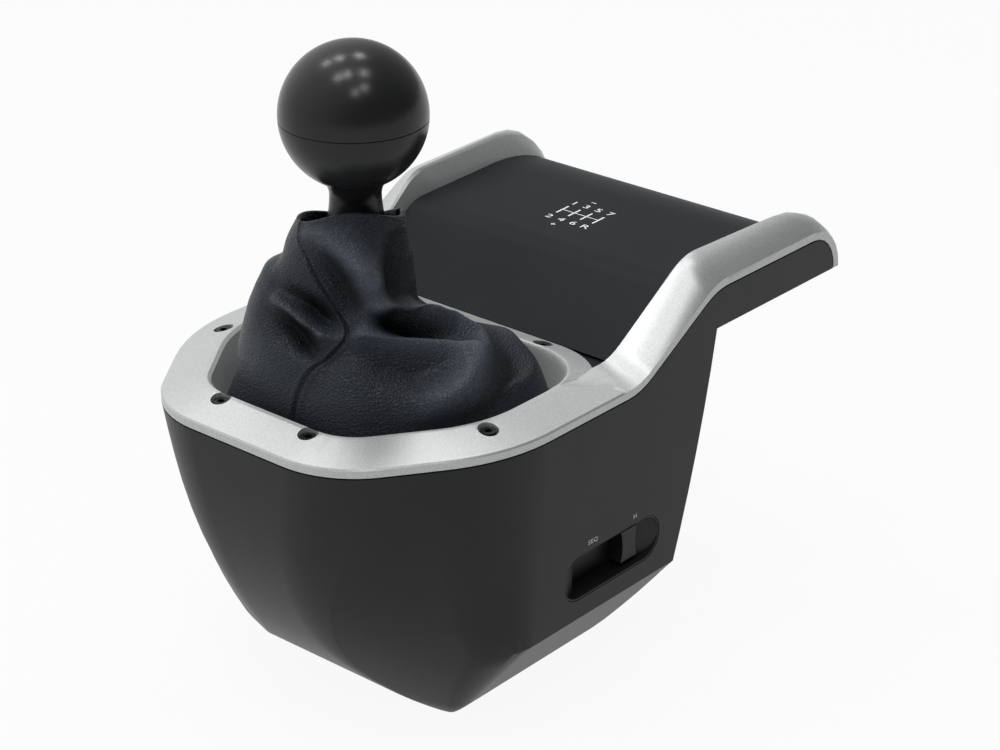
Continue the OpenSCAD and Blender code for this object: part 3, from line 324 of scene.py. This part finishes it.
# Profiles from the mouth to the seat at four angles: radius and height in mm on nine levels
PROFILES = {
    -90: [(20, 170.4), (22.6, 165.8), (25.6, 160), (30.5, 153.5), (34.5, 147), (37.3, 140), (40, 128.5),
          (42.5, 115), (47.5, 104)],
    0: [(17, 178.3), (19, 172), (21.5, 164.5), (24, 155), (26, 147), (29, 139), (36.5, 133), (44, 121),
        (49, 104)],
    90: [(16.4, 172.4), (17.6, 165), (19, 157.5), (19.7, 149), (20.2, 140), (31, 132), (48.5, 125), (62, 118),
         (67, 104)],
    180: [(17, 165), (19, 158.5), (21, 151), (23, 142.5), (25, 132.5), (30, 123), (39, 116), (46, 110),
          (50, 104)],
}
SEAT = 8                # the last level
SPREAD = 3.5            # level from which the boot takes on the opening's plan

# Folds: path of (angle, level), height over the surface along it, half width in mm
FOLDS = [
    # Sleeve: its ridge, the right side that falls away and the hollow beside the seam
    ([(-62, 0.2), (-36, 0.9), (-16, 1.5), (-3, 2), (6, 2.4), (12, 2.9), (16, 3.5)],
     [0.5, 3, 5, 6.5, 8, 8, 6], 5.5),
    ([(56, 0.5), (52, 1.4), (47, 2.4), (40, 3.3)], [-1, -4.5, -6.5, -5.5], 9),
    ([(-32, 1.6), (-20, 2.2), (-9, 2.8), (-1, 3.6)], [-2, -4.5, -5.5, -4.5], 5),
    # Left side: a ridge between two hollows, and a dent where the seam turns
    ([(-66, 3.65), (-60, 3.75), (-44, 4.05), (-33, 4.45), (-22, 4.85)], [0.5, 4, 7, 7.5, 4.5], 2.7),
    ([(-74, 3.4), (-51, 3.55), (-34, 3.95), (-24, 4.3), (-14, 4.55)], [-1, -5, -7.5, -7, -4], 4.8),
    ([(-58, 4.6), (-46, 4.9), (-34, 5.2), (-26, 5.4), (-17, 5.5)], [-2, -6, -6.5, -4.5, -1], 4.8),
    ([(-10, 4.7), (-4, 4.8), (3, 4.8)], [0, -2.5, 0], 4),
    # Front: a deep hollow, the ridge behind it that runs round its right end, and the roll before it
    ([(16, 4.15), (28, 4.4), (48, 4.6), (66, 4.95), (78, 5.3)], [-3, -6.5, -7.5, -5.5, -1], 3.4),
    ([(18, 3.8), (34, 3.72), (60, 3.95), (80, 4.45), (92, 5), (90, 5.55), (80, 5.8)],
     [4, 5.5, 5.5, 5.5, 5, 4, 2.5], 3.6),
    ([(22, 3.35), (45, 3.4), (68, 3.5), (90, 3.85)], [-0.5, -1.5, -1.5, -1], 2.8),
    ([(-21, 5), (-6, 4.9), (6, 4.8), (20, 5), (37, 5.15), (54, 5.4), (67, 5.75)],
     [2, 4, 4.5, 5, 5, 5, 4], 4.2),
    ([(70, 5.7), (66, 5.95), (58, 6.2), (48, 6.6), (36, 7), (26, 7.3)], [2, 4, 5, 5, 4, 1.5], 6.5),
    # Right side and front panel
    ([(98, 6.1), (82, 6.6), (66, 7.2), (52, 7.6)], [-2.5, -4.5, -4.5, -1], 8),
    ([(112, 6.9), (122, 7.5)], [4, 2], 10),
    ([(1, 5.6), (17, 5.9), (31, 6.1), (47, 5.9)], [-1.5, -3.5, -3.5, -1.5], 6.5),
    # Left outline and lower left
    ([(-108, 2.2), (-84, 2.3)], [-2.5, -1.5], 4),
    ([(-110, 3), (-88, 3), (-70, 3.1)], [0.8, 1, 0], 4),
    ([(-90, 6), (-60, 6.4)], [0.8, 1.8], 11),
    ([(-14, 5.9), (-24, 7)], [-2, 0], 6),
    # Back
    ([(150, 4), (180, 4.4), (210, 4.6)], [0, 5, 2.5], 5),
    ([(155, 5), (185, 5.2), (215, 5.4)], [0, -5, -2.5], 5),
    ([(225, 2.4), (240, 4), (250, 6)], [0, 4, 1], 7),
    ([(170, 6.4), (195, 7.2)], [3, 2], 10),
]

# The front seam's path from the mouth to the seat: level and angle
SEAM = ([0, 0.2, 1, 1.6, 2.2, 2.7, 3.2, 3.9, 4.4, 4.8, 5.1, 5.4, 5.9, 6.2, 6.6, 7, 7.3, 8],
        [-68, -66, -57, -48, -38, -30, -22, -14, -6, -4, -6, -12, -19, -25, -28, -30, -32, -34])


def profile_share(angle, key):
    """How much the profile at one angle counts at others: 1 there, and 0 from a quarter turn away."""
    near = np.clip(1 - np.abs((angle - key + 180) % 360 - 180) / 90, 0, 1)
    return near * near * (3 - 2 * near)


def plain_boot(angle, level):
    """Points of the boot without its folds, at angles in degrees and levels from mouth to seat."""
    size = np.zeros(angle.shape + (2,))
    foot = np.zeros_like(angle)
    for key, rows in PROFILES.items():
        share = profile_share(angle, key)
        foot += share * rows[-1][0]
        for axis in (0, 1):
            size[..., axis] += share * np.interp(level, range(len(rows)), [row[axis] for row in rows])
    low = np.clip((level - SPREAD) / (SEAT - SPREAD), 0, 1)
    radius = size[..., 0] * (1 + low * low * (outline_radius(SEAT_INSET, angle) / foot - 1))
    turn = np.radians(angle + FACING)
    return np.stack([radius * np.cos(turn), radius * np.sin(turn), size[..., 1]], axis=-1)


def smoothed(grid, times):
    """Evens out a grid of rows and closed columns, with its first and last rows kept."""
    for _ in range(times):
        inner = (grid[:-2] + grid[2:] + np.roll(grid, 1, axis=1)[1:-1] + np.roll(grid, -1, axis=1)[1:-1]) / 4
        grid[1:-1] = 0.5 * grid[1:-1] + 0.5 * inner
    return grid


def outward(grid):
    along = np.gradient(grid, axis=0)
    across = np.roll(grid, -1, axis=1) - np.roll(grid, 1, axis=1)
    normal = np.cross(along, across)
    return normal / np.linalg.norm(normal, axis=-1, keepdims=True)


def fold_heights(points):
    """Height of all the folds over the plain surface at its points, in mm."""
    total = np.zeros(points.shape[:-1])
    for path, sizes, width in FOLDS:
        spots = np.array(path, float)
        dense = np.linspace(0, len(path) - 1, 12 * (len(path) - 1) + 1)
        track = plain_boot(np.interp(dense, range(len(path)), spots[:, 0]),
                           np.interp(dense, range(len(path)), spots[:, 1]))
        size = np.interp(dense, range(len(path)), sizes)
        nearest = np.full(total.shape, 1e9)
        amount = np.zeros_like(total)
        for spot, height in zip(track, size):
            away = ((points - spot) ** 2).sum(axis=-1)
            closer = away < nearest
            nearest = np.where(closer, away, nearest)
            amount = np.where(closer, height, amount)
        total += amount * np.exp(-(nearest / width ** 2) ** 0.8)
    return total


ROWS, COLUMNS = 150, 130                # rows from mouth to seat, and columns from one seam to the other
BESIDE_SEAM = [0, 0.7, 1.4, 2.3, 3.4]   # degrees from a seam to the columns that shape it
MOUTH_FADE, SEAT_FADE = 0.8, 1.2        # levels over which the folds fade out
SEAM_RIDGE, SEAM_DEPTH = 0.3, 1.0       # in mm


def boot_grid():
    """Boot surface as rows of points from the mouth to the seat, one column along each seam."""
    near = np.array(BESIDE_SEAM)
    between = np.linspace(near[-1], 180 - near[-1], COLUMNS)[1:-1]
    steps = np.concatenate([near, between, 180 - near[::-1]])
    columns = np.concatenate([-steps[::-1][:-1], steps])[:-1]
    level = np.linspace(0, SEAT, ROWS)[:, None]
    angle = columns[None, :] + np.interp(level, *SEAM)
    level = np.broadcast_to(level, angle.shape)
    grid = smoothed(plain_boot(angle, level), 25)
    calm = np.clip(level / MOUTH_FADE, 0.1, 1) * np.clip((SEAT - level) / SEAT_FADE, 0, 1)
    heights = fold_heights(grid) * calm
    grid = smoothed(grid + outward(grid) * heights[..., None], 3)
    beside = np.minimum(np.abs(columns), 180 - np.abs(columns))
    sewn = SEAM_RIDGE * np.exp(-((beside - 2.4) / 1.2) ** 2) - SEAM_DEPTH * np.exp(-(beside / 0.7) ** 2)
    return grid + outward(grid) * sewn[None, :, None], heights


# The mouth's rolled edge, from deep in the lining out to the rim: inwards and up in mm
MOUTH_ROLL = [(3.2, -9), (1.7, -4), (1.5, 0), (1.1, 0.5), (0.5, 0.55), (0.12, 0.3)]


def boot_edges(grid, heights):
    """Grid and heights with a rolled edge and a lining at the mouth, and a clamped flange at the seat."""
    rim = grid[:1]
    inwards = -rim * (1, 1, 0) / np.linalg.norm(rim[..., :2], axis=-1, keepdims=True)
    up = np.array([0.0, 0.0, 1.0])
    roll = [rim + inwards * across + up * rise for across, rise in MOUTH_ROLL]
    foot = grid[-1:]
    turn = np.degrees(np.arctan2(foot[..., 1], foot[..., 0])) - FACING
    reach = (outline_radius(FLANGE_INSET, turn) / np.linalg.norm(foot[..., :2], axis=-1))[..., None]
    flange = foot * np.concatenate([reach, reach, np.ones_like(reach)], axis=-1)
    return np.concatenate(roll + [grid, flange]), np.pad(heights, ((len(roll), 1), (0, 0)), "edge")


def sheet_piece(name, grid, normals, heights, material):
    """A mesh over rows of points in mm with closed columns, which keeps the heights of its folds."""
    rows, columns = grid.shape[:2]
    corner = np.arange(rows * columns).reshape(rows, columns)
    beside = np.roll(corner, -1, axis=1)
    faces = np.stack([corner[:-1], corner[1:], beside[1:], beside[:-1]], axis=-1).reshape(-1, 4)
    mesh = bpy.data.meshes.new(name)
    mesh.from_pydata((grid.reshape(-1, 3) * 0.001).tolist(), [], faces.tolist())
    mesh.polygons.foreach_set("use_smooth", np.ones(len(faces), dtype=bool))
    mesh.normals_split_custom_set_from_vertices(normals.reshape(-1, 3).tolist())
    # The fold heights, which the leather uses to paint shade in the valleys and light on the ridges
    mesh.attributes.new("fold", "FLOAT", "POINT").data.foreach_set("value", heights.ravel())
    mesh.materials.append(material)
    obj = bpy.data.objects.new(name, mesh)
    scene.collection.objects.link(obj)
    return obj


SPLIT = 0.76                            # share of the rows that the sleeve has
SLEEVE_CUT, SKIRT_CUT = (0.165, 0.0715), (0.295, 0.03)  # flat sizes


def make_boot():
    """The boot in two pieces that share a loop, in place of the CAD boot, which is hidden."""
    grid, heights = boot_edges(*boot_grid())
    normals = outward(grid)
    split = int(len(grid) * SPLIT)
    sleeve = sheet_piece("boot_sleeve", grid[:split + 1], normals[:split + 1], heights[:split + 1], leather)
    skirt = sheet_piece("boot_skirt", grid[split:], normals[split:], heights[split:], leather)
    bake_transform(sleeve)
    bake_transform(skirt)
    for piece, cut in ((sleeve, SLEEVE_CUT), (skirt, SKIRT_CUT)):
        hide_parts("shift_boot")


make_boot()


# Prints: the shift pattern on the hood and the mode names beside the switch

def text_mesh(text, size, across):
    """Flat letters about their own middle, in mm, with a height and a share of their usual width."""
    curve = bpy.data.curves.new(text, "FONT")
    curve.body = text
    curve.size = 0.01
    curve.resolution_u = 4
    holder = bpy.data.objects.new(text, curve)
    mesh = bpy.data.meshes.new_from_object(holder)
    bpy.data.objects.remove(holder)
    points = np.array([vertex.co[:2] for vertex in mesh.vertices])
    faces = [tuple(face.vertices) for face in mesh.polygons]
    bpy.data.meshes.remove(mesh)
    low, high = points.min(axis=0), points.max(axis=0)
    points = (points - (low + high) / 2) * size / (high - low)[1] * (across, 1)
    return points, faces


def bar(x0, y0, x1, y1):
    return np.array([(x0, y0), (x1, y0), (x1, y1), (x0, y1)]), [(0, 1, 2, 3)]


def print_piece(name, shapes, place):
    """One flat print out of shapes at (x, y) spots, laid on a surface by a function from plane to space."""
    points, faces = [], []
    for (shape, cells), (x, y) in shapes:
        faces += [tuple(len(points) + i for i in cell) for cell in cells]
        points += [place(px + x, py + y) for px, py in shape]
    mesh = bpy.data.meshes.new(name)
    mesh.from_pydata((np.array(points) * 0.001).tolist(), [], faces)
    mesh.materials.append(print_white)
    obj = bpy.data.objects.new(name, mesh)
    scene.collection.objects.link(obj)
    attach(obj, "chassis")


# The hood's top from its fold to its peak, in mm, and the prints' lift over what they lie on
HOOD_FOLD, HOOD_HEIGHT = 94, 134.6
HOOD_RUN, HOOD_RISE = 47.4, 1.5
PRINT_LIFT = 0.04


def on_hood(x, y):
    return x, y, HOOD_HEIGHT + (y - HOOD_FOLD) * HOOD_RISE / HOOD_RUN + PRINT_LIFT


def on_wall(y, z):
    return HALF_WIDTH + PRINT_LIFT, y, z


# Shift pattern in mm: columns of the gate, its crossbar, and how far numbers and signs lie from that
GATE_COLUMNS = (-9.2, -3.5, 2.2, 7.9)
CROSSBAR = 120.2
GATE_HALF = 3.6
UPPER_ROW, LOWER_ROW = 127.6, 112.6
MINUS, PLUS = (-3.7, 132.1), (-3.2, 107.4)
WIDE, FINE = 0.35, 0.19             # half widths of the columns and of the finer bars


def make_prints():
    pattern = [(bar(-WIDE, -GATE_HALF, WIDE, GATE_HALF), (x, CROSSBAR)) for x in GATE_COLUMNS]
    pattern.append((bar(GATE_COLUMNS[0], -FINE, GATE_COLUMNS[-1], FINE), (0, CROSSBAR)))
    for x, upper, lower in zip(GATE_COLUMNS, "1357", "246R"):
        pattern.append((text_mesh(upper, 2.9, 1.45), (x, UPPER_ROW)))
        pattern.append((text_mesh(lower, 2.9, 1.45), (x, LOWER_ROW)))
    pattern.append((bar(-1.1, -FINE, 1.1, FINE), MINUS))
    pattern.append((bar(-1, -FINE, 1, FINE), PLUS))
    pattern.append((bar(-FINE, -1, FINE, 1), PLUS))
    print_piece("shift_pattern_print", pattern, on_hood)
    print_piece("mode_names_print", [(text_mesh("SEQ", 1.9, 1.35), (34.5, 60.75)),
                                     (text_mesh("H", 1.7, 1.2), (58, 60.8))], on_wall)


make_prints()


# Camera at the photograph's place, fitted for a frame of 1000 by 750

AZIMUTH, ELEVATION = math.radians(40.613), math.radians(25.15)
CAMERA_PLACE = (0.557134, -0.576074, 0.488405)
LENS = 92.844           # on a sensor of 36 mm
back = Vector((math.sin(AZIMUTH) * math.cos(ELEVATION), -math.cos(AZIMUTH) * math.cos(ELEVATION),
               math.sin(ELEVATION)))
right = Vector((math.cos(AZIMUTH), math.sin(AZIMUTH), 0.0))
camera = bpy.data.objects.new("camera", bpy.data.cameras.new("camera"))
camera.matrix_world = Matrix.Translation(CAMERA_PLACE) @ Matrix(
    (right, back.cross(right), back)).transposed().to_4x4()
camera.data.sensor_width = 36.0
camera.data.lens = LENS
camera.data.clip_start = 0.01
scene.collection.objects.link(camera)
scene.camera = camera


# Studio: pale floor, ceiling lamps and a dim surround with two soft glows

def area_lamp(name, place, target, size, power):
    lamp = bpy.data.lights.new(name, "AREA")
    lamp.shape = "DISK"
    lamp.size = size
    lamp.energy = power
    obj = bpy.data.objects.new(name, lamp)
    obj.location = place
    obj.rotation_euler = (Vector(target) - Vector(place)).to_track_quat("-Z", "Y").to_euler()
    scene.collection.objects.link(obj)


def seen(tree):
    """1 for rays from the camera and from mirror or clear surfaces, otherwise 0."""
    path = node(tree, "ShaderNodeLightPath")
    total = path.outputs["Is Camera Ray"]
    for ray in ("Is Glossy Ray", "Is Transmission Ray"):
        add = node(tree, "ShaderNodeMath", operation="MAXIMUM")
        tree.links.new(total, add.inputs[0])
        tree.links.new(path.outputs[ray], add.inputs[1])
        total = add.outputs[0]
    return total


FLOOR_REACH, FLOOR_LEVEL = 40.0, -0.0002
WHITE_SHARE = 0.93      # of plain white in the floor that is seen; the rest keeps the shadow


def pale_floor():
    """A floor that looks nearly white and lights the object as a pale grey one."""
    mesh = bpy.data.meshes.new("floor")
    corners = [(x * FLOOR_REACH, y * FLOOR_REACH, FLOOR_LEVEL)
               for x, y in ((-1, -1), (1, -1), (1, 1), (-1, 1))]
    mesh.from_pydata(corners, [], [(0, 1, 2, 3)])
    floor = bpy.data.objects.new("floor", mesh)
    scene.collection.objects.link(floor)
    material, tree, shader = new_material("pale_floor")
    shader.inputs["Base Color"].default_value = (0.55, 0.55, 0.55, 1.0)
    shader.inputs["Roughness"].default_value = 0.9
    white = node(tree, "ShaderNodeEmission", {"Color": (1.0, 1.0, 1.0, 1.0), "Strength": 1.0})
    mix = node(tree, "ShaderNodeMixShader")
    share = node(tree, "ShaderNodeMath", {1: WHITE_SHARE}, operation="MULTIPLY")
    tree.links.new(seen(tree), share.inputs[0])
    tree.links.new(share.outputs[0], mix.inputs["Fac"])
    tree.links.new(shader.outputs["BSDF"], mix.inputs[1])
    tree.links.new(white.outputs["Emission"], mix.inputs[2])
    tree.links.new(mix.outputs["Shader"], tree.nodes["Material Output"].inputs["Surface"])
    mesh.materials.append(material)


pale_floor()

# Ceiling lamps over the knob, each by its direction: to the camera's right, away from it, and up
CEILING = [(-0.48, 0.37, 0.80), (-0.25, 0.41, 0.87), (0.10, 0.48, 0.87), (-0.11, -0.16, 0.98),
           (0.26, -0.08, 0.96), (0.31, -0.47, 0.83), (0.09, -0.62, 0.78), (-0.32, -0.21, 0.93)]
LAMPS_FROM = Vector((0.0, 0.0, 0.25))   # where the directions start, just over the knob
CEILING_RISE = 1.1      # of the lamps over that
LAMP_SIZE, LAMP_POWER = 0.18, 1.95
AIM = (0.0, 0.03, 0.12)

away = Vector((-math.sin(AZIMUTH), math.cos(AZIMUTH), 0.0))
for number, (across, beyond, up) in enumerate(CEILING):
    level_reach = (right * across + away * beyond) * CEILING_RISE / up
    spot = LAMPS_FROM + level_reach + Vector((0.0, 0.0, CEILING_RISE))
    area_lamp("ceiling_%d" % number, spot, AIM, LAMP_SIZE, LAMP_POWER)

# Surround: two wide soft glows, each by its direction, the dot product where it starts, and its strength
GLOWS = [((-0.748, -0.51, 0.42), 0.0, 0.93), ((-0.58, 0.68, 0.45), 0.2, 0.45)]


def surround():
    """A dim world with the glows, which lights the object from beyond the floor."""
    world = bpy.data.worlds.new("studio")
    world.use_nodes = True
    tree = world.node_tree
    background = tree.nodes["Background"]
    background.inputs["Color"].default_value = (1.0, 1.0, 1.0, 1.0)
    towards = node(tree, "ShaderNodeTexCoord")
    total = None
    for direction, start, strength in GLOWS:
        facing = node(tree, "ShaderNodeVectorMath", {1: direction}, operation="DOT_PRODUCT")
        glow = node(tree, "ShaderNodeMapRange", {"From Min": start, "To Min": 0.01, "To Max": strength})
        tree.links.new(towards.outputs["Generated"], facing.inputs[0])
        tree.links.new(facing.outputs["Value"], glow.inputs["Value"])
        if total is None:
            total = glow.outputs["Result"]
            continue
        add = node(tree, "ShaderNodeMath", operation="ADD")
        tree.links.new(total, add.inputs[0])
        tree.links.new(glow.outputs["Result"], add.inputs[1])
        total = add.outputs[0]
    tree.links.new(total, background.inputs["Strength"])
    return world


scene.world = surround()
scene.view_settings.view_transform = "Standard"
